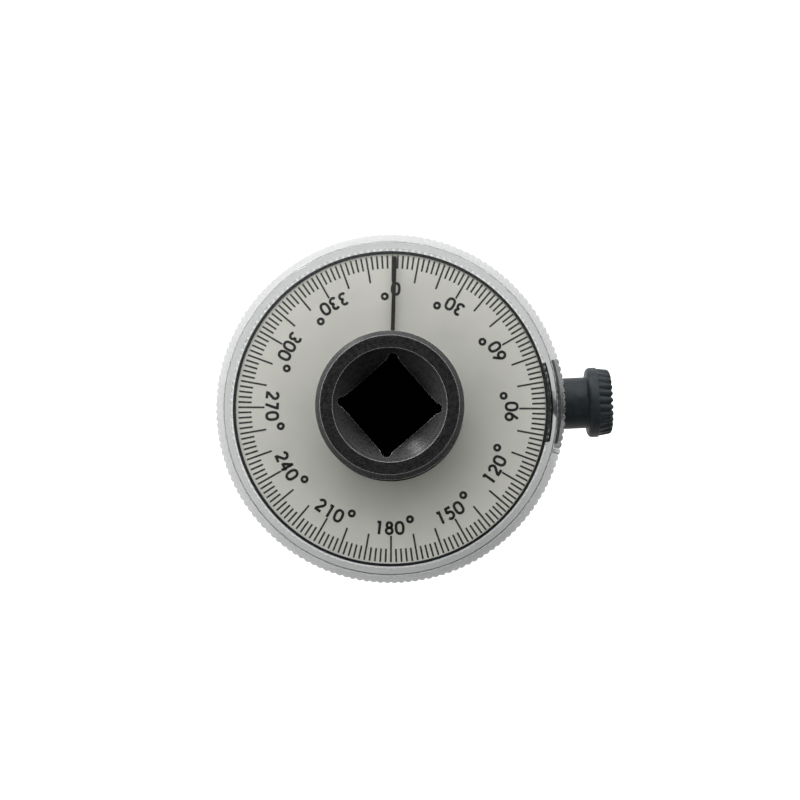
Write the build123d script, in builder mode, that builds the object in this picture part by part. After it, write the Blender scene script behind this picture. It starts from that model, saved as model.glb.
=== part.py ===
from build123d import *
import os
from math import cos, radians, sin, sqrt

os.makedirs("parts", exist_ok=True)

# A torque angle gauge. Z is the spindle's axis, the end of the male square lies at z = 0,
# and the clamp screw points along +X. All sizes are in millimetres.

# Drive squares
tang_across = 12.65
tang_corner_cut = 0.54
tang_length = 15.0
tang_end_chamfer = 0.9
socket_across = 12.85
socket_depth = 15.0
socket_ear_radius = 0.95
socket_ear_inset = 0.036
socket_ear_blend = 0.4
lead_in_margin = 0.85
drill_margin = 0.12
drill_depth_below_square = 1.2
squares_turn = 38.5

# Spindle body
socket_wall = 1.95
journal_edge = 0.5
hub_shoulder = 1.9
hub_height = 6.8
hub_chamfer = 0.85

# Running clearances
shaft_clearance = 0.05
axial_play = 0.05
press_seat = 0.02

# Retaining ring in its groove
ring_land = 1.6
ring_groove_width = 1.3
ring_groove_depth = 0.5
ring_thickness = 1.2
ring_width = 2.2
ring_eye_radius = 1.7
ring_eye_hole_radius = 0.8
ring_eye_angle = 14.0
ring_gap = 3.0

# Washers
spring_washer_width = 3.4
spring_washer_height = 0.95
spring_washer_thickness = 0.35
thrust_washer_width = 4.4
thrust_washer_thickness = 1.0
friction_washer_width = 1.5
friction_washer_thickness = 0.5
spacer_washer_width = 1.7

# Flanged bush
bush_wall = 1.35
bush_stand_out = 0.3
bush_flange_width = 0.6
bush_flange_thickness = 0.95

# Base plate
base_height = 14.1
boss_wall = 3.6
boss_chamfer = 0.8
disc_depth = 3.6
rim_lip_width = 0.45
rim_lip_rise = 0.3
rim_wall = 1.8
rim_chamfer = 0.4
pocket_depth = 2.0
pocket_boss_margin = 1.2
rib_count = 12
rib_width = 1.4
block_pad_margin = 1.4

# Dial plate
dial_radius = 27.6
dial_thickness = 0.8
dial_fit = 0.05
dial_hole_clearance = 0.2

# Clear cover
window_gap = 0.8
window_thickness = 3.4
cover_gap = 0.35
skirt_wall = 2.55
skirt_gap = 0.6
skirt_chamfer = 0.3
inner_corner_radius = 0.15
bevel_width = 1.7
bevel_height = 1.0
knurl_count = 156
knurl_depth = 0.28
knurl_half_width = 0.42
knurl_overcut = 1.3

# Pointer line
index_width = 0.7
index_end_margin = 0.5
index_start_margin = 0.95
index_groove_depth = 0.4
index_ink_gap = 0.03
index_turn = 85.9

# Arm block
block_width = 14.2
block_height = 10.3
block_chamfer = 0.8
block_seat_gap = 0.1
arm_bore_radius = 3.05
arm_bore_chamfer = 0.4
screw_radius = 1.5
screw_head_radius = 2.9
screw_sink = 0.1
screw_length = 10.0
screw_edge = 2.5
screw_inset = 1.5
screw_hex_across = 2.0
screw_hex_depth = 0.8
screw_web = 0.45
screw_hole_spare = 0.5
thread_length = 3.3

# Clamp screw
stud_radius = 2.45
stud_tip_chamfer = 0.6
stud_tip_gap = 0.2
stud_head_radius = 3.3
stud_head_length = 3.2
stud_head_cover = 2.2
stem_radius = 4.7
stem_gap = 1.65

# Thumb knob
knob_head_gap = 4.9
stem_chamfer = 0.4
lip_radius = 6.43
lip_width = 1.9
lip_round = 0.85
lip_step = 0.21
drum_taper = 0.32
knob_end_round = 0.9
knob_head_length = 4.45
ridge_count = 26
ridge_groove_depth = 0.65
ridge_groove_half_width = 0.5
ridge_overcut = 1.5

# Detent in the male square
ball_radius = 2.38
ball_stand_out = 0.9
ball_height = 7.2
ball_clearance = 0.05
ball_hole_past_axis = 1.5
ball_mouth_gap = 0.14
ball_mouth_depth = 0.6
spring_wire_width = 0.45
spring_side_gap = 0.33
spring_pitch = 1.3
spring_seat_gap = 0.03

# Spindle sizes that follow from its squares
tang_corner_radius = tang_across / sqrt(2) - tang_corner_cut
socket_ear_reach = socket_across / sqrt(2) - socket_ear_inset
lead_in_radius = socket_ear_reach + lead_in_margin
drill_radius = socket_across / 2 - drill_margin
journal_radius = socket_ear_reach + socket_wall
hub_radius = journal_radius + hub_shoulder

# Heights along the spindle's axis, from the male square upwards
z_ring = tang_length + ring_land
z_ring_top = z_ring + ring_thickness
z_thrust = z_ring_top + spring_washer_height
z_thrust_top = z_thrust + thrust_washer_thickness
z_bush = z_thrust_top + axial_play
z_base = z_bush + bush_stand_out
z_seat = z_base + base_height
z_disc = z_seat - disc_depth
z_dial = z_seat + dial_thickness
z_flange = z_seat + bush_flange_thickness
z_window = z_dial + window_gap
z_cover = z_window + window_thickness
z_shoulder = z_cover + axial_play + friction_washer_thickness
z_hub = z_shoulder + hub_height
z_arm = z_disc - block_height / 2
z_skirt = max(z_disc, z_arm + stem_radius) + skirt_gap

spring_washer_bow = spring_washer_height - spring_washer_thickness
spacer_thickness = z_window - z_flange - 2 * axial_play

# Radii, from the spindle outwards
ring_groove_radius = journal_radius - ring_groove_depth
ring_inner = ring_groove_radius + press_seat
ring_outer = ring_inner + ring_width
washer_bore = journal_radius + shaft_clearance
spring_washer_radius = washer_bore + spring_washer_width
bush_radius = washer_bore + bush_wall
base_bore = bush_radius + press_seat
boss_radius = base_bore + boss_wall
flange_radius = bush_radius + bush_flange_width
dial_hole = flange_radius + dial_hole_clearance
dial_recess = dial_radius + dial_fit
base_radius = dial_recess + rim_lip_width
skirt_inner = base_radius + cover_gap
cover_radius = skirt_inner + skirt_wall
pocket_outer = base_radius - rim_wall
pocket_inner = boss_radius + pocket_boss_margin
knurl_mouth = knurl_half_width * knurl_overcut
knurl_mouth_depth = knurl_depth * knurl_overcut
knurl_groove = [(0, 0), (knurl_mouth_depth, -knurl_mouth), (knurl_mouth_depth, knurl_mouth)]
index_start = washer_bore + index_start_margin
index_reach = dial_radius - index_end_margin
index_length = index_reach - index_start
index_middle = (index_reach + index_start) / 2

# Countersunk screws, with heads of 90 degrees
screw_hole_radius = screw_radius + press_seat
screw_mouth_radius = screw_head_radius + screw_sink + press_seat
screw_head_depth = screw_head_radius - screw_radius
screw_side = block_width / 2 - screw_edge

# Knob radii
drum_radius = lip_radius - lip_step
drum_end_radius = drum_radius - drum_taper
ridge_mouth = ridge_groove_half_width * ridge_overcut
ridge_mouth_depth = ridge_groove_depth * ridge_overcut
ridge_groove = [(0, 0), (ridge_mouth_depth, -ridge_mouth), (ridge_mouth_depth, ridge_mouth)]

# Places along the clamp screw
block_seat = boss_radius + block_seat_gap
x_screw = block_seat + screw_inset
x_arm = x_screw + screw_radius + screw_web + arm_bore_radius
x_thread = x_arm + arm_bore_radius
x_block = x_thread + thread_length
x_tip = x_thread + stud_tip_gap
x_stem = x_block + stem_gap
x_head = cover_radius + knob_head_gap
x_stud_head = x_stem + stud_head_cover
x_stud_end = x_stud_head + stud_head_length
x_drum = x_head + lip_width
x_knob = x_head + knob_head_length

# Places along the detent's axis
ball_hole_radius = ball_radius + ball_clearance
ball_mouth_radius = sqrt(ball_radius**2 - (ball_radius - ball_stand_out) ** 2) + ball_mouth_gap
spring_coil_radius = ball_hole_radius - spring_side_gap - spring_wire_width / 2
spring_touch_radius = spring_coil_radius - spring_wire_width / 2
x_flat = tang_across / 2
x_ball = x_flat + ball_stand_out - ball_radius
x_ball_hole = x_flat - ball_mouth_depth
x_spring = spring_wire_width / 2 + spring_seat_gap - ball_hole_past_axis
x_spring_touch = x_ball - sqrt(ball_radius**2 - spring_touch_radius**2)
x_spring_end = x_spring_touch - spring_wire_width / 2 - spring_seat_gap

# Planes and axes used by several pieces
detent_direction = Vector(cos(radians(squares_turn)), sin(radians(squares_turn)), 0)
detent_across = Vector(sin(radians(squares_turn)), -cos(radians(squares_turn)), 0)
detent_centre = Vector(0, 0, ball_height)
detent_plane = Plane(origin=detent_centre, x_dir=detent_direction, z_dir=detent_across)
detent_axis = Axis(detent_centre, detent_direction)
screw_plane = Plane(origin=(0, 0, z_arm), x_dir=(1, 0, 0), z_dir=(0, -1, 0))
screw_axis = Axis((0, 0, z_arm), (1, 0, 0))
index_direction = Vector(cos(radians(index_turn)), sin(radians(index_turn)), 0)
index_plane = Plane(origin=(0, 0, z_window), x_dir=index_direction, z_dir=(0, 0, 1))
block_screw_places = [(x_screw, -screw_side), (x_screw, screw_side)]


def finish(piece, name):
    # Name a finished piece and write it
    piece.part.label = name
    export_step(piece.part, f"parts/{name}.step")


def washer(piece_bottom, thickness, width, name):
    # A flat washer that fits over the journal
    with BuildPart() as piece:
        with BuildSketch(Plane.XY.offset(piece_bottom)):
            Circle(washer_bore + width)
            Circle(washer_bore, mode=Mode.SUBTRACT)
        extrude(amount=thickness)
    finish(piece, name)


# Spindle: turned hub and journal, broached socket, male square with its detent hole
with BuildPart() as drive_spindle:
    with BuildSketch(Plane.XZ):
        with BuildLine():
            Polyline(
                (0, tang_length),
                (journal_radius - journal_edge, tang_length),
                (journal_radius, tang_length + journal_edge),
                (journal_radius, z_ring),
                (ring_groove_radius, z_ring),
                (ring_groove_radius, z_ring + ring_groove_width),
                (journal_radius, z_ring + ring_groove_width),
                (journal_radius, z_shoulder),
                (hub_radius, z_shoulder),
                (hub_radius, z_hub - hub_chamfer),
                (hub_radius - hub_chamfer, z_hub),
                (0, z_hub),
                close=True,
            )
        make_face()
    revolve(axis=Axis.Z)
    with BuildSketch(Plane.XY):
        Rectangle(tang_across, tang_across, rotation=squares_turn)
        Circle(tang_corner_radius, mode=Mode.INTERSECT)
    extrude(amount=tang_length)
    tang_end = drive_spindle.faces().sort_by(Axis.Z)[0]
    chamfer(tang_end.edges(), tang_end_chamfer)
    with BuildSketch(Plane.XY.offset(z_hub)) as socket_outline:
        Rectangle(socket_across, socket_across, rotation=squares_turn)
        fillet(socket_outline.vertices(), socket_ear_radius)
        with PolarLocations(socket_ear_reach - socket_ear_radius, 4, squares_turn + 45):
            Circle(socket_ear_radius)
        fillet(socket_outline.vertices(), socket_ear_blend)
    extrude(amount=-socket_depth, mode=Mode.SUBTRACT)
    with BuildSketch(Plane.XZ):
        with BuildLine():
            Polyline(
                (0, z_hub),
                (lead_in_radius, z_hub),
                (0, z_hub - lead_in_radius),
                close=True,
            )
        make_face()
    revolve(axis=Axis.Z, mode=Mode.SUBTRACT)
    with BuildSketch(Plane.XY.offset(z_hub - socket_depth)):
        Circle(drill_radius)
    extrude(amount=-drill_depth_below_square, mode=Mode.SUBTRACT)
    with BuildSketch(detent_plane):
        with BuildLine():
            Polyline(
                (-ball_hole_past_axis, 0),
                (-ball_hole_past_axis, ball_hole_radius),
                (x_ball_hole, ball_hole_radius),
                (x_flat, ball_mouth_radius),
                (x_flat + ball_stand_out, ball_mouth_radius),
                (x_flat + ball_stand_out, 0),
                close=True,
            )
        make_face()
    revolve(axis=detent_axis, mode=Mode.SUBTRACT)
finish(drive_spindle, "drive_spindle")

# Detent ball, pressed out against the staked mouth of its hole
with BuildPart() as detent_ball:
    with Locations(detent_centre + detent_direction * x_ball):
        Sphere(ball_radius)
finish(detent_ball, "detent_ball")

# Detent spring behind the ball, of square wire
with BuildPart() as detent_spring:
    with BuildLine() as spring_line:
        Helix(
            pitch=spring_pitch,
            height=x_spring_end - x_spring,
            radius=spring_coil_radius,
            center=detent_centre + detent_direction * x_spring,
            direction=detent_direction,
        )
    wire_end = Plane(spring_line.line @ 0, x_dir=detent_direction, z_dir=spring_line.line % 0)
    with BuildSketch(wire_end):
        Rectangle(spring_wire_width, spring_wire_width)
    sweep(is_frenet=True)
finish(detent_spring, "detent_spring")

# Retaining ring with its two eyes, open towards -Y
with BuildPart() as retaining_ring:
    with BuildSketch(Plane.XY.offset(z_ring)):
        Circle(ring_outer)
        with PolarLocations(ring_outer, 2, 270 - ring_eye_angle, 2 * ring_eye_angle, endpoint=True):
            Circle(ring_eye_radius)
            Circle(ring_eye_hole_radius, mode=Mode.SUBTRACT)
        Circle(ring_inner, mode=Mode.SUBTRACT)
        with Locations((0, -ring_outer)):
            Rectangle(ring_gap, 4 * ring_eye_radius, mode=Mode.SUBTRACT)
    extrude(amount=ring_thickness)
finish(retaining_ring, "retaining_ring")

# Spring washer, bowed about the Y direction
with BuildPart() as spring_washer:
    with BuildSketch(Plane.XY.offset(z_ring_top)):
        Circle(spring_washer_radius)
        Circle(washer_bore, mode=Mode.SUBTRACT)
    extrude(amount=spring_washer_height)
    with BuildSketch(Plane.XZ):
        with BuildLine():
            under = ThreePointArc(
                (-spring_washer_radius, z_ring_top + spring_washer_bow),
                (0, z_ring_top),
                (spring_washer_radius, z_ring_top + spring_washer_bow),
            )
            over = ThreePointArc(
                (spring_washer_radius, z_thrust),
                (0, z_ring_top + spring_washer_thickness),
                (-spring_washer_radius, z_thrust),
            )
            Line(under @ 1, over @ 0)
            Line(over @ 1, under @ 0)
        make_face()
    extrude(amount=spring_washer_radius, both=True, mode=Mode.INTERSECT)
finish(spring_washer, "spring_washer")

# Flat washers of the stack
washer(z_thrust, thrust_washer_thickness, thrust_washer_width, "thrust_washer")
washer(z_flange + axial_play, spacer_thickness, spacer_washer_width, "spacer_washer")
washer(z_cover + axial_play, friction_washer_thickness, friction_washer_width, "friction_washer")

# Bush between the journal and the base plate, its flange on the dial side
with BuildPart() as base_bush:
    with BuildSketch(Plane.XZ):
        with BuildLine():
            Polyline(
                (washer_bore, z_bush),
                (bush_radius, z_bush),
                (bush_radius, z_seat),
                (flange_radius, z_seat),
                (flange_radius, z_flange),
                (washer_bore, z_flange),
                close=True,
            )
        make_face()
    revolve(axis=Axis.Z)
finish(base_bush, "base_bush")

# Base plate: moulded disc with boss, lip round the dial, and ribs on its underside
with BuildPart() as base_plate:
    with BuildSketch(Plane.XZ):
        with BuildLine():
            Polyline(
                (base_bore, z_base),
                (boss_radius - boss_chamfer, z_base),
                (boss_radius, z_base + boss_chamfer),
                (boss_radius, z_disc),
                (base_radius - rim_chamfer, z_disc),
                (base_radius, z_disc + rim_chamfer),
                (base_radius, z_dial + rim_lip_rise),
                (dial_recess, z_dial + rim_lip_rise),
                (dial_recess, z_seat),
                (base_bore, z_seat),
                close=True,
            )
        make_face()
    revolve(axis=Axis.Z)
    with BuildSketch(Plane.XY.offset(z_disc)):
        Circle(pocket_outer)
        Circle(pocket_inner, mode=Mode.SUBTRACT)
        with PolarLocations(pocket_outer / 2, rib_count, 180 / rib_count):
            Rectangle(pocket_outer, rib_width, mode=Mode.SUBTRACT)
        with Locations((base_radius, 0)):
            Rectangle(2 * base_radius, block_width + 2 * block_pad_margin, mode=Mode.SUBTRACT)
    extrude(amount=pocket_depth, mode=Mode.SUBTRACT)
    with Locations(Plane.XY.offset(z_seat)):
        with Locations(*block_screw_places):
            CounterSinkHole(screw_hole_radius, screw_mouth_radius, depth=disc_depth, counter_sink_angle=90)
finish(base_plate, "base_plate")

# Dial plate, laid in the base plate's recess
with BuildPart() as dial_plate:
    with BuildSketch(Plane.XY.offset(z_seat)):
        Circle(dial_radius)
        Circle(dial_hole, mode=Mode.SUBTRACT)
    extrude(amount=dial_thickness)
finish(dial_plate, "dial_plate")

# Arm block: cross bore for the arm, tapped hole for the clamp screw, inner end round the boss
with BuildPart() as arm_block:
    with BuildSketch(Plane.XY.offset(z_disc - block_height)):
        with Locations((x_block / 2, 0)):
            Rectangle(x_block, block_width)
        Circle(block_seat, mode=Mode.SUBTRACT)
    extrude(amount=block_height)
    outer_corners = arm_block.edges().filter_by(Axis.Z).group_by(Axis.X)[-1]
    chamfer(outer_corners, block_chamfer)
    with BuildSketch(Plane.XZ):
        with Locations((x_arm, z_arm)):
            Circle(arm_bore_radius)
    extrude(amount=block_width, both=True, mode=Mode.SUBTRACT)
    bore_mouths = arm_block.edges().filter_by(GeomType.CIRCLE).filter_by(Plane.XZ)
    chamfer(bore_mouths, arm_bore_chamfer)
    with BuildSketch(Plane.YZ.offset(x_block)):
        with Locations((0, z_arm)):
            Circle(stud_radius + shaft_clearance)
    extrude(amount=x_arm - x_block, mode=Mode.SUBTRACT)
    with Locations(Plane.XY.offset(z_disc)):
        with Locations(*block_screw_places):
            Hole(screw_hole_radius, depth=screw_length - disc_depth + screw_hole_spare)
finish(arm_block, "arm_block")

# Countersunk screws that hold the block to the base plate
with BuildPart() as block_screws:
    with Locations(Plane.XY.offset(z_seat - screw_sink)):
        with Locations(*block_screw_places):
            Cylinder(screw_radius, screw_length, align=(Align.CENTER, Align.CENTER, Align.MAX))
            Cone(
                screw_radius,
                screw_head_radius,
                screw_head_depth,
                align=(Align.CENTER, Align.CENTER, Align.MAX),
            )
    with BuildSketch(Plane.XY.offset(z_seat - screw_sink)):
        with Locations(*block_screw_places):
            RegularPolygon(screw_hex_across / 2, 6, major_radius=False)
    extrude(amount=-screw_hex_depth, mode=Mode.SUBTRACT)
finish(block_screws, "block_screws")

# Clear cover: window, bevelled rim, knurled skirt, and the groove of the pointer line
with BuildPart() as index_cover:
    with BuildSketch(Plane.XZ):
        with BuildLine():
            corner = CenterArc(
                (skirt_inner - inner_corner_radius, z_window - inner_corner_radius),
                inner_corner_radius,
                0,
                90,
            )
            Polyline(
                corner @ 1,
                (washer_bore, z_window),
                (washer_bore, z_cover),
                (cover_radius - bevel_width, z_cover),
                (cover_radius, z_cover - bevel_height),
                (cover_radius, z_skirt + skirt_chamfer),
                (cover_radius - skirt_chamfer, z_skirt),
                (skirt_inner, z_skirt),
                corner @ 0,
            )
        make_face()
    revolve(axis=Axis.Z)
    with BuildSketch(Plane.XY.offset(z_skirt)):
        with PolarLocations(cover_radius - knurl_depth, knurl_count):
            Polygon(*knurl_groove, align=None)
    extrude(amount=z_cover - z_skirt, mode=Mode.SUBTRACT)
    with BuildSketch(index_plane):
        with Locations((index_middle, 0)):
            SlotOverall(index_length + 2 * index_ink_gap, index_width + 2 * index_ink_gap)
    extrude(amount=index_groove_depth, mode=Mode.SUBTRACT)
finish(index_cover, "index_cover")

# Pointer line, ink filled into the groove flush with the underside of the window
with BuildPart() as index_line:
    with BuildSketch(index_plane):
        with Locations((index_middle, 0)):
            SlotOverall(index_length, index_width)
    extrude(amount=index_groove_depth - index_ink_gap)
finish(index_line, "index_line")

# Clamp stud, its head moulded into the knob
with BuildPart() as clamp_stud:
    with BuildSketch(screw_plane):
        with BuildLine():
            Polyline(
                (x_tip, 0),
                (x_tip, stud_radius - stud_tip_chamfer),
                (x_tip + stud_tip_chamfer, stud_radius),
                (x_stud_head, stud_radius),
                (x_stud_head, stud_head_radius),
                (x_stud_end, stud_head_radius),
                (x_stud_end, 0),
                close=True,
            )
        make_face()
    revolve(axis=screw_axis)
finish(clamp_stud, "clamp_stud")

# Thumb knob: stem, rounded lip and ridged drum, hollow where the stud's head lies
with BuildPart() as thumb_knob:
    with BuildSketch(screw_plane):
        with BuildLine():
            lip = CenterArc((x_head + lip_round, lip_radius - lip_round), lip_round, 90, 90)
            end = CenterArc(
                (x_knob - knob_end_round, drum_end_radius - knob_end_round),
                knob_end_round,
                0,
                90,
            )
            Polyline(
                lip @ 1,
                (x_head, stem_radius),
                (x_stem + stem_chamfer, stem_radius),
                (x_stem, stem_radius - stem_chamfer),
                (x_stem, stud_radius + shaft_clearance),
                (x_stud_head - axial_play, stud_radius + shaft_clearance),
                (x_stud_head - axial_play, stud_head_radius + shaft_clearance),
                (x_stud_end + axial_play, stud_head_radius + shaft_clearance),
                (x_stud_end + axial_play, 0),
                (x_knob, 0),
                end @ 0,
            )
            Polyline(end @ 1, (x_drum, drum_radius), (x_drum, lip_radius), lip @ 0)
        make_face()
    revolve(axis=screw_axis)
    with BuildSketch(Plane.YZ.offset(x_knob)):
        with Locations((0, z_arm)):
            with PolarLocations(drum_radius - ridge_groove_depth, ridge_count):
                Polygon(*ridge_groove, align=None)
    extrude(amount=x_drum - x_knob, mode=Mode.SUBTRACT)
finish(thumb_knob, "thumb_knob")
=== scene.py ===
import math

import bmesh
import bpy
from mathutils import Matrix, Vector


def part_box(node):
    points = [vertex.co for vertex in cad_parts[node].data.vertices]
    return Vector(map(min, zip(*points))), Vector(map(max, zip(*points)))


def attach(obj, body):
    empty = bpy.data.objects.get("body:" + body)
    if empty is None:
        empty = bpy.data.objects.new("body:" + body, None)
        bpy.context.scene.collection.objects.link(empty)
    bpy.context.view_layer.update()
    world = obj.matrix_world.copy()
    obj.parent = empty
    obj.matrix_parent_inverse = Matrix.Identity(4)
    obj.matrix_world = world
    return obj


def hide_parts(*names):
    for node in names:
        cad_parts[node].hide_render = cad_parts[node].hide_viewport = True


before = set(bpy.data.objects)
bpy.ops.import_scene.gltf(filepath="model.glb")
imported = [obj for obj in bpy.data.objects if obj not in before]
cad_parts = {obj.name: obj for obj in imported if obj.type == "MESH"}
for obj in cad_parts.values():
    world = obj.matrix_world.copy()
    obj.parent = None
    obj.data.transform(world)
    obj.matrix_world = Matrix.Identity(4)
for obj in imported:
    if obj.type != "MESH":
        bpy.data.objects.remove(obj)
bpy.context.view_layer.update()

# A torque angle gauge seen from above, in metres. The clear cover, the clamp screw with its thread,
# the knob, the arm block and the print on the dial are made here. Every other piece is the CAD model
# with a better material.
MM = 0.001

# Places read from the frame
dial_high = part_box("dial_plate")[1]
cover_low, cover_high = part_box("index_cover")
stud_low, stud_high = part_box("clamp_stud")
block_low, block_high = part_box("arm_block")
knob_low, knob_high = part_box("thumb_knob")
spindle_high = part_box("drive_spindle")[1]
dial_top = dial_high.z
dial_radius = dial_high.x

# The square socket in the hub, with painted shade that turns it dull black below its mouth
socket_rim_radius = 9.8 * MM
socket_mouth = spindle_high.z - 2.2 * MM
socket_full_shade = spindle_high.z - 5 * MM
socket_floor = dial_top - 10 * MM

# Turn of the dial's zero and of the pieces in the picture, in degrees from +X
zero_direction = 87.2
picture_turn = 2.5

# Clear cover
cover_radius = 31.0 * MM
cover_bore = 11.05 * MM
skirt_inner = 28.45 * MM
window_underside = dial_top + 0.8 * MM
bevel_width = 1.7 * MM
bevel_height = 1.2 * MM
skirt_chamfer = 0.3 * MM
cover_round = 0.12 * MM
rim_step_width = 0.28 * MM
rim_step_height = 0.4 * MM
rim_step_round = 0.08 * MM
small_round = 0.05 * MM
inner_round = 0.06 * MM
cover_corner_steps = 4
knurl_count = 156
knurl_depth = 0.28 * MM
knurl_half_width = 0.42 * MM
cover_skin = 0.003 * MM

# Print on the dial
ink_thickness = 0.015 * MM
tick_step = 2
long_tick_step = 10
figure_step = 30
tick_outer = dial_radius - 0.24 * MM
print_shift = Vector((0.2 * MM, 0))
tick_length = 2.35 * MM
long_tick_length = 4.65 * MM
tick_width = 0.34 * MM
figure_radius = 21.4 * MM
figure_height = 2.36 * MM
figure_stroke = 0.49 * MM
figure_pitch = 4.95
figure_fullness = 2.5
figure_lead = {1: 1.6, 2: 1.5, 3: 0.85}
sign_pitch = 5.5
sign_radius = 20.1 * MM
sign_size = 1.44 * MM

# Thread of the clamp screw
thread_pitch = 0.8 * MM
thread_depth = 0.45 * MM
thread_flank = 1.7
thread_crest = 0.35
thread_rows = 8
stud_sides = 72
stud_radius = 2.45 * MM
stud_tip_chamfer = 0.6 * MM
stud_head_radius = 3.3 * MM
stud_head_length = 3.2 * MM
stud_axis_z = (stud_low.z + stud_high.z) / 2

# Thumb knob, its lip and its ridged drum
knob_start = knob_low.x
knob_end = knob_high.x
knob_length = 4.45 * MM
stem_radius = 4.7 * MM
stem_chamfer = 0.3 * MM
stem_fillet = 0.35 * MM
lip_radius = 6.43 * MM
lip_width = 1.9 * MM
lip_round = 0.85 * MM
knob_dish_radius = 4.5 * MM
knob_dish_depth = 0.5 * MM
knob_dish_slope = 0.3 * MM
knob_dish_round = 0.15 * MM
knob_edge_round = 0.1 * MM
knob_corner_steps = 5
drum_radius = 6.22 * MM
drum_end_radius = 5.9 * MM
knob_end_round = 0.8 * MM
ridge_count = 26
ridge_depth = 0.5 * MM
ridge_inner_margin = 0.2 * MM
ridge_rise = 0.8 * MM
ridge_end_depth = 0.4 * MM
ridge_end_reach = 0.9 * MM
ridge_steps = 8
knob_bore = 2.6 * MM
knob_head_bore = stud_head_radius + 0.1 * MM

# Arm block, cut to the cover's circle by a drum with many sides
block_margin = 1 * MM
block_cutter_sides = 720

# Camera: place over the dial, aim on the dial and focal length, all in the picture's own directions
eye_offset = Vector((5.0 * MM, -16.8 * MM, 300 * MM))
aim_offset = Vector((1.66 * MM, 1.5 * MM, 0))
focal_pixels = 1680
picture_pixels = 800
sensor_width = 36

# Clear plastic: what it takes from light inside it, per metre, and the tint of its shadow
clear_body_color = (0.868, 0.8715, 0.8695)
clear_body_density = 720
clear_shadow_shade = 0.94

# Floor: half its width, its grey, and its glow for the camera and for gloss and clear pieces
floor_half = 1.5
floor_shade = 0.75
floor_glow_camera = 0.5
floor_glow_mirrored = 0.1

# World: the direction that most of the soft light comes from, its dimmest and brightest side and how
# fast it falls between them, and its shades from the horizon's height to overhead
bright_side = (-0.3, 0.95, 0.1)
side_dim = 0.36
side_bright = 2.1
side_fall = 2.2
ceiling_shades = [(0.35, 1.0), (0.6, 1.0), (0.9, 0.75), (0.97, 0.03)]


def arc(centre, radii, start, end, count):
    # Points of an arc or an ellipse's arc, angles in degrees
    points = []
    for index in range(count + 1):
        angle = math.radians(start + (end - start) * index / count)
        points.append((centre[0] + radii[0] * math.cos(angle), centre[1] + radii[1] * math.sin(angle)))
    return points


def rounded(corners, steps=3):
    # A closed outline whose corners (x, y, radius) are rounded
    points = []
    for index, (x, y, radius) in enumerate(corners):
        here = Vector((x, y))
        before = Vector(corners[index - 1][:2])
        after = Vector(corners[(index + 1) % len(corners)][:2])
        into = (before - here).normalized()
        out = (after - here).normalized()
        half = into.angle(out) / 2
        if radius == 0 or half > math.radians(89):
            points.append((x, y))
            continue
        reach = radius / math.tan(half)
        centre = here + (into + out).normalized() * (radius / math.sin(half))
        first = here + into * reach - centre
        last = here + out * reach - centre
        for step in range(steps + 1):
            points.append(tuple(centre + first.slerp(last, step / steps) * radius))
    return points


def mesh_object(name, vertices, faces, smooth=True):
    mesh = bpy.data.meshes.new(name)
    mesh.from_pydata(vertices, [], faces)
    mesh.update()
    if smooth:
        mesh.shade_smooth()
    obj = bpy.data.objects.new(name, mesh)
    bpy.context.scene.collection.objects.link(obj)
    return obj


def lathe(name, profile, angles, place):
    # A closed body swept round an axis; place(r, h, angle) gives each point
    rows = len(profile)
    turns = len(angles)
    vertices = [place(r, h, angle) for angle in angles for r, h in profile]
    faces = []
    for turn in range(turns):
        following = (turn + 1) % turns
        for row in range(rows):
            up = (row + 1) % rows
            here, there = turn * rows, following * rows
            faces.append((here + row, there + row, there + up, here + up))
    obj = mesh_object(name, vertices, faces)
    joined = bmesh.new()
    joined.from_mesh(obj.data)
    bmesh.ops.remove_doubles(joined, verts=joined.verts, dist=1e-7)
    joined.to_mesh(obj.data)
    joined.free()
    return obj


def sharpen(obj, degrees):
    # Keep the edges steeper than an angle sharp
    obj.data.set_sharp_from_angle(angle=math.radians(degrees))


# Clear cover, finer than its solid, with its knurled edge and rounded corners
def knurl_reach(offset):
    # Radius of a knurl groove's flank at an angle from its middle
    slope = knurl_depth / knurl_half_width
    return (cover_radius - knurl_depth) / (math.cos(offset) - slope * abs(math.sin(offset)))


def build_cover():
    top = cover_high.z - cover_skin
    bottom = cover_low.z + cover_skin
    outer = cover_radius
    profile = rounded([
        (skirt_inner, bottom, 0),
        (outer - skirt_chamfer, bottom, small_round),
        (outer, bottom + skirt_chamfer, small_round),
        (outer, top - bevel_height, cover_round),
        (outer - bevel_width + rim_step_width, top - rim_step_height, rim_step_round),
        (outer - bevel_width, top, small_round),
        (cover_bore, top, cover_round),
        (cover_bore, window_underside, 0),
        (skirt_inner, window_underside, inner_round),
    ], cover_corner_steps)
    pitch = 2 * math.pi / knurl_count
    half_groove = knurl_half_width / cover_radius
    steps = [
        -half_groove,
        -half_groove / 2,
        0,
        half_groove / 2,
        half_groove,
        (half_groove + pitch / 2) / 2,
        pitch / 2,
        pitch - (half_groove + pitch / 2) / 2,
    ]
    angles = [knurl * pitch + step for knurl in range(knurl_count) for step in steps]

    def place(r, h, angle):
        offset = (angle + pitch / 2) % pitch - pitch / 2
        reach = min(r, knurl_reach(offset)) if r > cover_radius - 2 * knurl_depth else r
        return (reach * math.cos(angle), reach * math.sin(angle), h)

    cover = lathe("cover_shell", profile, angles, place)
    sharpen(cover, 24)
    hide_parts("index_cover")
    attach(cover, "index")
    return cover


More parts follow.
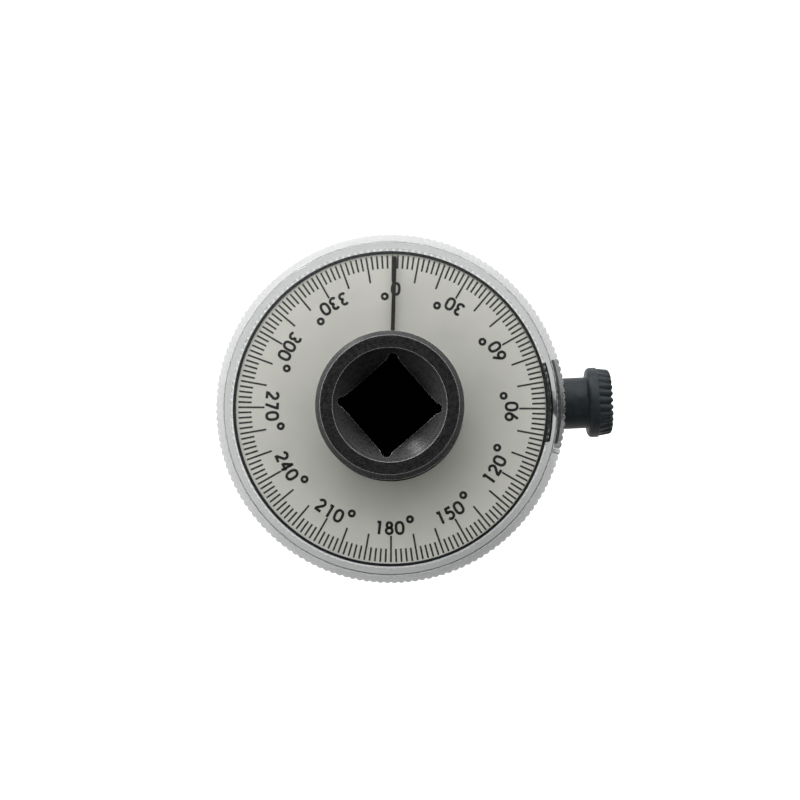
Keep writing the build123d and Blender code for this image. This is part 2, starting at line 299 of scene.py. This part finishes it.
# Strokes of the printed figures, in shares of a cell one unit high, reading upright
def figure_strokes():
    wide, tall = 0.275, 0.42
    flat = [(x * wide, y * tall) for x, y in superellipse(figure_fullness)]
    return {
        "0": [flat],
        "1": [[(0.05, -0.5), (0.05, 0.5)], [(0.05, 0.42), (-0.16, 0.4)]],
        "2": [
            arc((0, 0.18), (0.235, 0.24), 170, -30, 14) + [(-0.19, -0.36)],
            [(-0.27, -0.42), (0.27, -0.42)],
        ],
        "3": [
            arc((-0.02, 0.215), (0.2, 0.205), 150, -90, 14),
            arc((-0.02, -0.205), (0.245, 0.215), 90, -150, 14),
        ],
        "4": [
            [(0.11, -0.5), (0.11, 0.5)],
            [(0.11, 0.42), (-0.25, -0.16)],
            [(-0.33, -0.2), (0.27, -0.2)],
        ],
        "5": [
            [(-0.14, 0.42), (0.22, 0.42)],
            [(-0.14, 0.5), (-0.2, 0.02)],
            arc((-0.02, -0.155), (0.25, 0.265), 132, -148, 16),
        ],
        "6": [
            arc((0, -0.165), (0.25, 0.255), 0, 360, 24),
            [(0.12, 0.5), (-0.2, 0.0)],
        ],
        "7": [[(-0.24, 0.42), (0.27, 0.42)], [(0.2, 0.4), (-0.1, -0.5)]],
        "8": [
            arc((0, 0.215), (0.185, 0.205), 0, 360, 24),
            arc((0, -0.195), (0.235, 0.225), 0, 360, 24),
        ],
        "9": [
            arc((0, 0.165), (0.25, 0.255), 0, 360, 24),
            [(-0.12, -0.5), (0.2, 0.0)],
        ],
    }


def superellipse(power):
    # A closed oval with fuller sides than an ellipse
    count = 32
    points = []
    for index in range(count + 1):
        angle = 2 * math.pi * index / count
        c, s = math.cos(angle), math.sin(angle)
        points.append((math.copysign(abs(c) ** (2 / power), c), math.copysign(abs(s) ** (2 / power), s)))
    return points


def ribbon(path, width):
    # The two sides of a stroke along a path
    closed = (Vector(path[0]) - Vector(path[-1])).length < 1e-9
    line = [Vector(point) for point in (path[:-1] if closed else path)]
    left, right = [], []
    for index, point in enumerate(line):
        before = line[index - 1] if index or closed else None
        after = line[(index + 1) % len(line)] if index + 1 < len(line) or closed else None
        along = Vector((0, 0))
        if before is not None:
            along += (point - before).normalized()
        if after is not None:
            along += (after - point).normalized()
        along.normalize()
        side = Vector((-along.y, along.x)) * width / 2
        left.append(point + side)
        right.append(point - side)
    return left, right, closed


class Print:
    # Thin printed strokes, gathered into one mesh
    def __init__(self):
        self.vertices = []
        self.faces = []

    def stroke(self, path, width, place):
        left, right, closed = ribbon(path, width)
        start = len(self.vertices)
        for one, other in zip(left, right):
            for point in (one, other):
                x, y = place(point)
                self.vertices.append((x, y, dial_top))
                self.vertices.append((x, y, dial_top + ink_thickness))
        count = len(left)
        for index in range(count if closed else count - 1):
            a = start + 4 * index
            b = start + 4 * ((index + 1) % count)
            self.faces += [
                (a + 1, a + 3, b + 3, b + 1),
                (a, b, b + 2, a + 2),
                (a, a + 1, b + 1, b),
                (a + 2, b + 2, b + 3, a + 3),
            ]
        if not closed:
            last = start + 4 * (count - 1)
            self.faces += [
                (start, start + 2, start + 3, start + 1),
                (last, last + 1, last + 3, last + 2),
            ]

    def finish(self, name):
        obj = mesh_object(name, self.vertices, self.faces, smooth=False)
        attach(obj, "dial_base")
        return obj


def dial_frame(degrees, radius):
    # Maps a figure's x and y to the dial, its top towards the centre; the scale runs clockwise
    angle = math.radians(zero_direction - degrees)
    outward = Vector((math.cos(angle), math.sin(angle)))
    along = Vector((-math.sin(angle), math.cos(angle)))
    return lambda point: print_shift + outward * (radius - point[1]) + along * point[0]


def build_scale():
    scale = Print()
    for degrees in range(0, 360, tick_step):
        length = tick_length if degrees % long_tick_step else long_tick_length
        path = [(0, 0), (0, length)]
        scale.stroke(path, tick_width, dial_frame(degrees, tick_outer))
    return scale.finish("dial_scale")


def build_figures():
    strokes = figure_strokes()
    figures = Print()
    sign = arc((0, 0), (1, 1), 0, 360, 28)
    ring = (sign_size - figure_stroke) / 2
    for degrees in range(0, 360, figure_step):
        text = str(degrees)
        middle = degrees + figure_lead[len(text)]
        for index, figure in enumerate(text):
            at = middle + ((len(text) - 1) / 2 - index) * figure_pitch
            place = dial_frame(at, figure_radius)
            for path in strokes[figure]:
                shape = [(x * figure_height, y * figure_height) for x, y in path]
                figures.stroke(shape, figure_stroke, place)
        at -= sign_pitch
        figures.stroke([(x * ring, y * ring) for x, y in sign], figure_stroke, dial_frame(at, sign_radius))
    return figures.finish("dial_figures")


# Clamp screw with its thread
def build_stud():
    start, end = stud_low.x, stud_high.x
    head = end - stud_head_length
    step = thread_pitch / thread_rows
    profile = [(0, start), (stud_radius - stud_tip_chamfer, start)]
    x = start + step
    while x < head - step / 2:
        profile.append((stud_radius, x))
        x += step
    profile += [(stud_radius, head), (stud_head_radius, head), (stud_head_radius, end), (0, end)]
    angles = [2 * math.pi * index / stud_sides for index in range(stud_sides)]

    def place(r, x, angle):
        if r == stud_radius:
            turn = (x / thread_pitch - angle / (2 * math.pi)) % 1
            ramp = min(1, max(0, thread_flank * abs(2 * turn - 1) - thread_crest))
            tip = min(0, x - start - stud_tip_chamfer)
            r = min(stud_radius - thread_depth * ramp, stud_radius + tip)
        return (x, r * math.cos(angle), stud_axis_z + r * math.sin(angle))

    stud = lathe("clamp_thread", profile, angles, place)
    sharpen(stud, 40)
    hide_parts("clamp_stud")
    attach(stud, "clamp")
    return stud


# Arm block whose outer end follows the cover's circle
def build_block():
    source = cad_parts["arm_block"]
    raw = bpy.data.objects.new("block_raw", source.data.copy())
    bpy.context.scene.collection.objects.link(raw)
    raw.matrix_world = source.matrix_world.copy()
    reach = block_high.x
    low = block_low.z - block_margin
    high = block_high.z + block_margin
    angles = [2 * math.pi * index / block_cutter_sides for index in range(block_cutter_sides)]
    outline = [(0, low), (reach, low), (reach, high), (0, high)]

    def place(r, h, angle):
        return (r * math.cos(angle), r * math.sin(angle), h)

    cutter = lathe("block_cutter", outline, angles, place)
    trim = raw.modifiers.new("round_end", "BOOLEAN")
    trim.operation = "INTERSECT"
    trim.solver = "EXACT"
    trim.object = cutter
    bpy.context.view_layer.update()
    shaped = raw.evaluated_get(bpy.context.evaluated_depsgraph_get()).to_mesh()
    vertices = [raw.matrix_world @ vertex.co for vertex in shaped.vertices]
    faces = [tuple(face.vertices) for face in shaped.polygons]
    bpy.data.objects.remove(raw)
    bpy.data.objects.remove(cutter)
    block = mesh_object("block_body", vertices, faces)
    sharpen(block, 25)
    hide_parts("arm_block")
    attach(block, "dial_base")
    return block


# Thumb knob with rounded ridges that run out over its end
def build_knob():
    head = knob_end - knob_length
    drum = head + lip_width
    stud_head = stud_high.x - stud_head_length
    outline = rounded([
        (knob_bore, knob_start, 0),
        (stem_radius - stem_chamfer, knob_start, 0),
        (stem_radius, knob_start + stem_chamfer, knob_edge_round),
        (stem_radius, head, stem_fillet),
        (lip_radius, head, lip_round),
        (lip_radius, drum, knob_edge_round),
        (drum_radius, drum, 0),
        (drum_end_radius, knob_end, knob_end_round),
        (knob_dish_radius, knob_end, knob_dish_round),
        (knob_dish_radius - knob_dish_slope, knob_end - knob_dish_depth, knob_dish_round),
        (0, knob_end - knob_dish_depth, 0),
        (0, stud_high.x, 0),
        (knob_head_bore, stud_high.x, 0),
        (knob_head_bore, stud_head, 0),
        (knob_bore, stud_head, 0),
    ], knob_corner_steps)
    steps = ridge_steps * ridge_count
    angles = [2 * math.pi * index / steps for index in range(steps)]

    def place(r, x, angle):
        if x > drum and r > knob_dish_radius - ridge_inner_margin:
            groove = 1 - abs(math.sin(ridge_count * angle / 2))
            rise = min(1, (r - knob_dish_radius + ridge_inner_margin) / ridge_rise)
            r -= ridge_depth * groove * rise
            x -= ridge_end_depth * groove * max(0, 1 - (knob_end - x) / ridge_end_reach)
        return (x, r * math.cos(angle), stud_axis_z + r * math.sin(angle))

    knob = lathe("knob_grip", outline, angles, place)
    sharpen(knob, 35)
    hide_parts("thumb_knob")
    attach(knob, "knob")
    return knob


# Materials
class Material:
    # A Principled material whose nodes are added one by one
    def __init__(self, name):
        self.material = bpy.data.materials.new(name)
        self.material.use_nodes = True
        self.tree = self.material.node_tree
        self.shader = self.tree.nodes["Principled BSDF"]
        self.output = self.tree.nodes["Material Output"]
        self.place = self.add("ShaderNodeTexCoord").outputs["Object"]

    def add(self, kind, **settings):
        node = self.tree.nodes.new(kind)
        for key, value in settings.items():
            setattr(node, key, value)
        return node

    def link(self, source, target):
        self.tree.links.new(source, target)

    def set(self, **values):
        for key, value in values.items():
            self.shader.inputs[key.replace("_", " ")].default_value = value

    def noise(self, size, vector=None, detail=3.0):
        node = self.add("ShaderNodeTexNoise")
        node.inputs["Scale"].default_value = 1 / size
        node.inputs["Detail"].default_value = detail
        node.inputs["Roughness"].default_value = 0.55
        self.link(vector or self.place, node.inputs["Vector"])
        return node.outputs["Fac"]

    def lathe_marks(self, size, axis="Z"):
        # Noise that changes with the distance from the axis and along it, and not round it
        split = self.add("ShaderNodeSeparateXYZ")
        self.link(self.place, split.inputs[0])
        names = {"Z": ("X", "Y", "Z"), "X": ("Y", "Z", "X")}[axis]
        pair = self.add("ShaderNodeCombineXYZ")
        self.link(split.outputs[names[0]], pair.inputs["X"])
        self.link(split.outputs[names[1]], pair.inputs["Y"])
        if axis == "X":
            shift = self.add("ShaderNodeVectorMath", operation="SUBTRACT")
            self.link(pair.outputs[0], shift.inputs[0])
            shift.inputs[1].default_value = (0, stud_axis_z, 0)
            pair = shift
        radius = self.add("ShaderNodeVectorMath", operation="LENGTH")
        self.link(pair.outputs[0], radius.inputs[0])
        join = self.add("ShaderNodeCombineXYZ")
        self.link(radius.outputs["Value"], join.inputs["X"])
        self.link(split.outputs[names[2]], join.inputs["Y"])
        return self.noise(size, join.outputs[0], detail=2.0)

    def mix_colors(self, factor, first, second):
        ramp = self.add("ShaderNodeValToRGB")
        ramp.color_ramp.elements[0].position = 0.35
        ramp.color_ramp.elements[1].position = 0.65
        ramp.color_ramp.elements[0].color = (*first, 1)
        ramp.color_ramp.elements[1].color = (*second, 1)
        self.link(factor, ramp.inputs["Fac"])
        self.link(ramp.outputs["Color"], self.shader.inputs["Base Color"])

    def tint(self, factor, color):
        # Lay another colour over the base colour where the factor is 1
        socket = self.shader.inputs["Base Color"]
        blend = self.add("ShaderNodeMix", data_type="RGBA")
        self.link(socket.links[0].from_socket, blend.inputs["A"])
        blend.inputs["B"].default_value = (*color, 1)
        self.link(factor, blend.inputs["Factor"])
        self.link(blend.outputs["Result"], socket)

    def worn_edges(self, radius):
        # 1 along sharp edges, the mask of a painted edge highlight that also stands for worn finish
        bevel = self.add("ShaderNodeBevel", samples=6)
        bevel.inputs["Radius"].default_value = radius
        surface = self.add("ShaderNodeNewGeometry")
        likeness = self.add("ShaderNodeVectorMath", operation="DOT_PRODUCT")
        self.link(bevel.outputs["Normal"], likeness.inputs[0])
        self.link(surface.outputs["Normal"], likeness.inputs[1])
        spread = self.add("ShaderNodeMapRange")
        spread.inputs["From Min"].default_value = 0.99
        spread.inputs["From Max"].default_value = 0.93
        self.link(likeness.outputs["Value"], spread.inputs["Value"])
        return spread.outputs["Result"]

    def inside(self, top, bottom, floor, radius):
        # 0 above a hole's mouth and 1 from a depth down to its floor, within a radius round the axis
        split = self.add("ShaderNodeSeparateXYZ")
        self.link(self.place, split.inputs[0])
        flat = self.add("ShaderNodeCombineXYZ")
        self.link(split.outputs["X"], flat.inputs["X"])
        self.link(split.outputs["Y"], flat.inputs["Y"])
        reach = self.add("ShaderNodeVectorMath", operation="LENGTH")
        self.link(flat.outputs[0], reach.inputs[0])
        within = self.add("ShaderNodeMath", operation="LESS_THAN")
        self.link(reach.outputs["Value"], within.inputs[0])
        within.inputs[1].default_value = radius
        depth = self.add("ShaderNodeMapRange")
        depth.inputs["From Min"].default_value = top
        depth.inputs["From Max"].default_value = bottom
        self.link(split.outputs["Z"], depth.inputs["Value"])
        above = self.add("ShaderNodeMath", operation="GREATER_THAN")
        self.link(split.outputs["Z"], above.inputs[0])
        above.inputs[1].default_value = floor
        first = self.add("ShaderNodeMath", operation="MULTIPLY")
        self.link(within.outputs[0], first.inputs[0])
        self.link(depth.outputs["Result"], first.inputs[1])
        second = self.add("ShaderNodeMath", operation="MULTIPLY")
        self.link(first.outputs[0], second.inputs[0])
        self.link(above.outputs[0], second.inputs[1])
        return second.outputs[0]

    def darken(self, factor):
        # Painted shade: dull black, without gloss, where the factor is 1
        black = self.add("ShaderNodeBsdfDiffuse")
        black.inputs["Color"].default_value = (0.001, 0.001, 0.001, 1)
        mix = self.add("ShaderNodeMixShader")
        self.link(factor, mix.inputs[0])
        self.link(self.shader.outputs[0], mix.inputs[1])
        self.link(black.outputs[0], mix.inputs[2])
        self.link(mix.outputs[0], self.output.inputs["Surface"])

    def vary_roughness(self, factor, low, high):
        spread = self.add("ShaderNodeMapRange")
        spread.inputs["From Min"].default_value = 0.3
        spread.inputs["From Max"].default_value = 0.7
        spread.inputs["To Min"].default_value = low
        spread.inputs["To Max"].default_value = high
        self.link(factor, spread.inputs["Value"])
        self.link(spread.outputs["Result"], self.shader.inputs["Roughness"])

    def bump(self, height, depth, edge=None):
        node = self.add("ShaderNodeBump")
        node.inputs["Strength"].default_value = 1.0
        node.inputs["Distance"].default_value = depth
        self.link(height, node.inputs["Height"])
        if edge:
            bevel = self.add("ShaderNodeBevel", samples=6)
            bevel.inputs["Radius"].default_value = edge
            self.link(bevel.outputs["Normal"], node.inputs["Normal"])
        self.link(node.outputs["Normal"], self.shader.inputs["Normal"])


def black_oxide():
    m = Material("black_oxide")
    m.mix_colors(m.noise(0.8 * MM), (0.004, 0.004, 0.0043), (0.0095, 0.0093, 0.0093))
    m.set(Metallic=0.1, Specular_IOR_Level=0.3)
    m.vary_roughness(m.noise(0.4 * MM), 0.22, 0.33)
    m.bump(m.lathe_marks(0.22 * MM), 0.025 * MM, edge=0.14 * MM)
    # Lighter grey along sharp edges: a painted highlight on the edges, and oxide worn there
    m.tint(m.worn_edges(0.13 * MM), (0.34, 0.34, 0.34))
    # Painted shade inside the hub's socket, black from a depth below its mouth down to its floor
    m.darken(m.inside(socket_mouth, socket_full_shade, socket_floor, socket_rim_radius))
    return m.material


def ground_black():
    m = Material("ground_black")
    m.mix_colors(m.noise(0.8 * MM), (0.007, 0.007, 0.0075), (0.014, 0.0135, 0.0135))
    m.set(Specular_IOR_Level=1.0)
    m.vary_roughness(m.noise(0.4 * MM), 0.12, 0.18)
    m.bump(m.noise(0.3 * MM), 0.001 * MM, edge=0.05 * MM)
    return m.material


def bright_steel():
    m = Material("bright_steel")
    m.mix_colors(m.noise(0.9 * MM), (0.48, 0.48, 0.49), (0.6, 0.6, 0.6))
    m.set(Metallic=1.0)
    m.vary_roughness(m.noise(0.3 * MM), 0.22, 0.36)
    m.bump(m.lathe_marks(0.12 * MM), 0.006 * MM, edge=0.06 * MM)
    return m.material


def zinc_plating():
    m = Material("zinc_plating")
    m.mix_colors(m.noise(0.7 * MM), (0.72, 0.73, 0.75), (0.84, 0.85, 0.87))
    m.set(Metallic=0.45)
    m.vary_roughness(m.noise(0.3 * MM), 0.45, 0.6)
    m.bump(m.lathe_marks(0.12 * MM, "X"), 0.006 * MM, edge=0.06 * MM)
    return m.material


def spring_steel():
    m = Material("spring_steel")
    m.mix_colors(m.noise(0.7 * MM), (0.09, 0.09, 0.1), (0.19, 0.19, 0.2))
    m.set(Metallic=0.8)
    m.vary_roughness(m.noise(0.25 * MM), 0.38, 0.55)
    m.bump(m.noise(0.12 * MM), 0.008 * MM, edge=0.06 * MM)
    return m.material


def bronze():
    m = Material("bronze")
    m.mix_colors(m.noise(1.1 * MM), (0.07, 0.052, 0.036), (0.13, 0.095, 0.062))
    m.set(Metallic=0.7)
    m.vary_roughness(m.noise(0.3 * MM), 0.3, 0.46)
    m.bump(m.lathe_marks(0.15 * MM), 0.006 * MM, edge=0.05 * MM)
    return m.material


def black_plastic():
    m = Material("black_plastic")
    m.mix_colors(m.noise(1.3 * MM), (0.0095, 0.0122, 0.014), (0.0145, 0.018, 0.0198))
    m.set(Specular_IOR_Level=0.1)
    m.vary_roughness(m.noise(0.35 * MM), 0.36, 0.48)
    m.bump(m.noise(0.16 * MM, detail=4.0), 0.008 * MM)
    return m.material


def clear_plastic():
    # Refracts what the camera and gloss see, and lets plain light and shadow straight through
    m = Material("clear_plastic")
    m.set(Base_Color=(0.98, 0.98, 0.98, 1), Transmission_Weight=1.0, IOR=1.49)
    m.vary_roughness(m.noise(2.5 * MM), 0.015, 0.05)
    m.bump(m.noise(0.6 * MM), 0.0015 * MM)
    clear = m.add("ShaderNodeBsdfTransparent")
    clear.inputs["Color"].default_value = (*[clear_shadow_shade] * 3, 1)
    path = m.add("ShaderNodeLightPath")
    either = m.add("ShaderNodeMath", operation="MAXIMUM")
    mix = m.add("ShaderNodeMixShader")
    m.link(path.outputs["Is Shadow Ray"], either.inputs[0])
    m.link(path.outputs["Is Diffuse Ray"], either.inputs[1])
    m.link(either.outputs[0], mix.inputs[0])
    m.link(m.shader.outputs[0], mix.inputs[1])
    m.link(clear.outputs[0], mix.inputs[2])
    m.link(mix.outputs[0], m.output.inputs["Surface"])
    body = m.add("ShaderNodeVolumeAbsorption")
    body.inputs["Color"].default_value = (*clear_body_color, 1)
    body.inputs["Density"].default_value = clear_body_density
    m.link(body.outputs[0], m.output.inputs["Volume"])
    return m.material


def dial_paint():
    m = Material("dial_paint")
    m.mix_colors(m.noise(6 * MM), (0.82, 0.8, 0.745), (0.87, 0.85, 0.79))
    m.vary_roughness(m.noise(0.8 * MM), 0.4, 0.52)
    m.bump(m.noise(0.2 * MM), 0.004 * MM)
    return m.material


def ink(name, color, roughness):
    m = Material(name)
    m.mix_colors(m.noise(0.25 * MM), color, tuple(1.8 * part + 0.003 for part in color))
    m.vary_roughness(m.noise(0.4 * MM), roughness - 0.06, roughness + 0.06)
    m.bump(m.noise(0.08 * MM), 0.002 * MM)
    return m.material


def rubber():
    m = Material("friction_rubber")
    m.mix_colors(m.noise(0.8 * MM), (0.014, 0.014, 0.014), (0.028, 0.028, 0.028))
    m.vary_roughness(m.noise(0.3 * MM), 0.7, 0.85)
    m.bump(m.noise(0.1 * MM), 0.015 * MM)
    return m.material


def nylon():
    m = Material("spacer_nylon")
    m.mix_colors(m.noise(1.2 * MM), (0.68, 0.68, 0.63), (0.75, 0.75, 0.71))
    m.vary_roughness(m.noise(0.4 * MM), 0.42, 0.55)
    m.bump(m.noise(0.15 * MM), 0.006 * MM, edge=0.04 * MM)
    return m.material


def dress(material, *objects):
    for obj in objects:
        obj.data.materials.clear()
        obj.data.materials.append(material)


def build_materials(cover, scale, figures, stud, knob, block):
    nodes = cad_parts
    plastic = black_plastic()
    spring = spring_steel()
    steel = bright_steel()
    looks = {
        "drive_spindle": black_oxide(),
        "detent_ball": steel,
        "thrust_washer": steel,
        "block_screws": steel,
        "detent_spring": spring,
        "retaining_ring": spring,
        "spring_washer": spring,
        "base_bush": bronze(),
        "base_plate": plastic,
        "dial_plate": dial_paint(),
        "index_line": ink("index_ink", (0.01, 0.0075, 0.006), 0.4),
        "friction_washer": rubber(),
        "spacer_washer": nylon(),
    }
    for name, look in looks.items():
        nodes[name].material_slots[0].material = look
    dress(clear_plastic(), cover)
    dress(ink("tick_ink", (0.022, 0.022, 0.02), 0.5), scale)
    dress(ink("dial_ink", (0.004, 0.0045, 0.004), 0.5), figures)
    dress(zinc_plating(), stud)
    dress(plastic, knob)
    dress(ground_black(), block)


# Studio: pale floor, white surroundings, soft lamps and the camera
def ray_share(tree, camera, others):
    # One strength for camera rays, another for rays in gloss and through clear pieces, else none
    path = tree.nodes.new("ShaderNodeLightPath")

    def math_node(operation, first, second):
        node = tree.nodes.new("ShaderNodeMath")
        node.operation = operation
        for value, socket in zip((first, second), node.inputs):
            if isinstance(value, (int, float)):
                socket.default_value = value
            else:
                tree.links.new(value, socket)
        return node.outputs[0]

    clear = math_node("MAXIMUM", path.outputs["Is Glossy Ray"], path.outputs["Is Transmission Ray"])
    return math_node(
        "ADD",
        math_node("MULTIPLY", path.outputs["Is Camera Ray"], camera),
        math_node("MULTIPLY", clear, others),
    )


def build_floor():
    half = floor_half
    corners = [(-half, -half, 0), (half, -half, 0), (half, half, 0), (-half, half, 0)]
    floor = mesh_object("floor", corners, [(0, 1, 2, 3)])
    material = bpy.data.materials.new("floor")
    material.use_nodes = True
    tree = material.node_tree
    tree.nodes.clear()
    output = tree.nodes.new("ShaderNodeOutputMaterial")
    paper = tree.nodes.new("ShaderNodeBsdfDiffuse")
    paper.inputs["Color"].default_value = (*[floor_shade] * 3, 1)
    glow = tree.nodes.new("ShaderNodeEmission")
    glow.inputs["Color"].default_value = (1, 1, 1, 1)
    both = tree.nodes.new("ShaderNodeAddShader")
    tree.links.new(ray_share(tree, floor_glow_camera, floor_glow_mirrored), glow.inputs["Strength"])
    tree.links.new(paper.outputs[0], both.inputs[0])
    tree.links.new(glow.outputs[0], both.inputs[1])
    tree.links.new(both.outputs[0], output.inputs["Surface"])
    dress(material, floor)


def build_world():
    # A soft bright side towards the picture's top, a dim one opposite, and a dark ceiling round the
    # camera, which itself sees plain white
    world = bpy.data.worlds.new("studio")
    bpy.context.scene.world = world
    world.use_nodes = True
    tree = world.node_tree
    background = tree.nodes["Background"]
    background.inputs["Color"].default_value = (1, 1, 1, 1)
    direction = tree.nodes.new("ShaderNodeTexCoord").outputs["Generated"]
    split = tree.nodes.new("ShaderNodeSeparateXYZ")
    ceiling = tree.nodes.new("ShaderNodeValToRGB")
    for _ in range(len(ceiling_shades) - 2):
        ceiling.color_ramp.elements.new(0.5)
    for element, (height, shade) in zip(ceiling.color_ramp.elements, ceiling_shades):
        element.position = height
        element.color = (shade, shade, shade, 1)
    facing = tree.nodes.new("ShaderNodeVectorMath")
    facing.operation = "DOT_PRODUCT"
    facing.inputs[1].default_value = bright_side
    side = tree.nodes.new("ShaderNodeMapRange")
    side.inputs["From Min"].default_value = -1
    side.inputs["To Min"].default_value = side_dim
    side.inputs["To Max"].default_value = side_bright
    fall = tree.nodes.new("ShaderNodeMath")
    fall.operation = "POWER"
    fall.inputs[1].default_value = side_fall
    level = tree.nodes.new("ShaderNodeMath")
    level.operation = "MULTIPLY"
    switch = tree.nodes.new("ShaderNodeMix")
    switch.inputs["B"].default_value = 1.0
    path = tree.nodes.new("ShaderNodeLightPath")
    tree.links.new(direction, split.inputs[0])
    tree.links.new(split.outputs["Z"], ceiling.inputs["Fac"])
    tree.links.new(direction, facing.inputs[0])
    tree.links.new(facing.outputs["Value"], side.inputs["Value"])
    tree.links.new(ceiling.outputs["Color"], level.inputs[0])
    tree.links.new(side.outputs["Result"], fall.inputs[0])
    tree.links.new(fall.outputs[0], level.inputs[1])
    tree.links.new(path.outputs["Is Camera Ray"], switch.inputs["Factor"])
    tree.links.new(level.outputs[0], switch.inputs["A"])
    tree.links.new(switch.outputs["Result"], background.inputs["Strength"])


def lamp(name, azimuth, elevation, distance, size, power):
    # An area lamp turned towards the dial; its azimuth and elevation are in degrees
    target = Vector((0, 0, dial_top))
    around = math.radians(azimuth - picture_turn)
    up = math.radians(elevation)
    towards = Vector((math.cos(up) * math.cos(around), math.cos(up) * math.sin(around), math.sin(up)))
    data = bpy.data.lights.new(name, "AREA")
    data.shape = "RECTANGLE"
    data.size, data.size_y = size
    data.energy = power
    obj = bpy.data.objects.new(name, data)
    bpy.context.scene.collection.objects.link(obj)
    obj.location = target + towards * distance
    obj.rotation_euler = (-towards).to_track_quat("-Z", "Y").to_euler()


def build_lamps():
    lamp("key", azimuth=98, elevation=44, distance=0.7, size=(0.34, 0.3), power=0.65)
    lamp("strip", azimuth=121, elevation=10, distance=0.6, size=(0.1, 0.06), power=1.3)


def build_camera():
    turn = Matrix.Rotation(math.radians(-picture_turn), 3, "Z")
    dial_centre = Vector((0, 0, dial_top))
    eye = dial_centre + turn @ eye_offset
    aim = dial_centre + turn @ aim_offset
    up = turn @ Vector((0, 1, 0))
    back = (eye - aim).normalized()
    right = up.cross(back).normalized()
    data = bpy.data.cameras.new("camera")
    data.sensor_width = sensor_width
    data.lens = focal_pixels / picture_pixels * sensor_width
    data.clip_start = 0.01
    data.clip_end = 10
    camera = bpy.data.objects.new("camera", data)
    bpy.context.scene.collection.objects.link(camera)
    axes = Matrix((right, back.cross(right), back)).transposed()
    camera.matrix_world = Matrix.Translation(eye) @ axes.to_4x4()
    bpy.context.scene.camera = camera


cover_shell = build_cover()
dial_scale = build_scale()
dial_figures = build_figures()
clamp_thread = build_stud()
knob_grip = build_knob()
block_body = build_block()
build_materials(cover_shell, dial_scale, dial_figures, clamp_thread, knob_grip, block_body)
build_floor()
build_world()
build_lamps()
build_camera()
bpy.context.scene.view_settings.view_transform = "Standard"
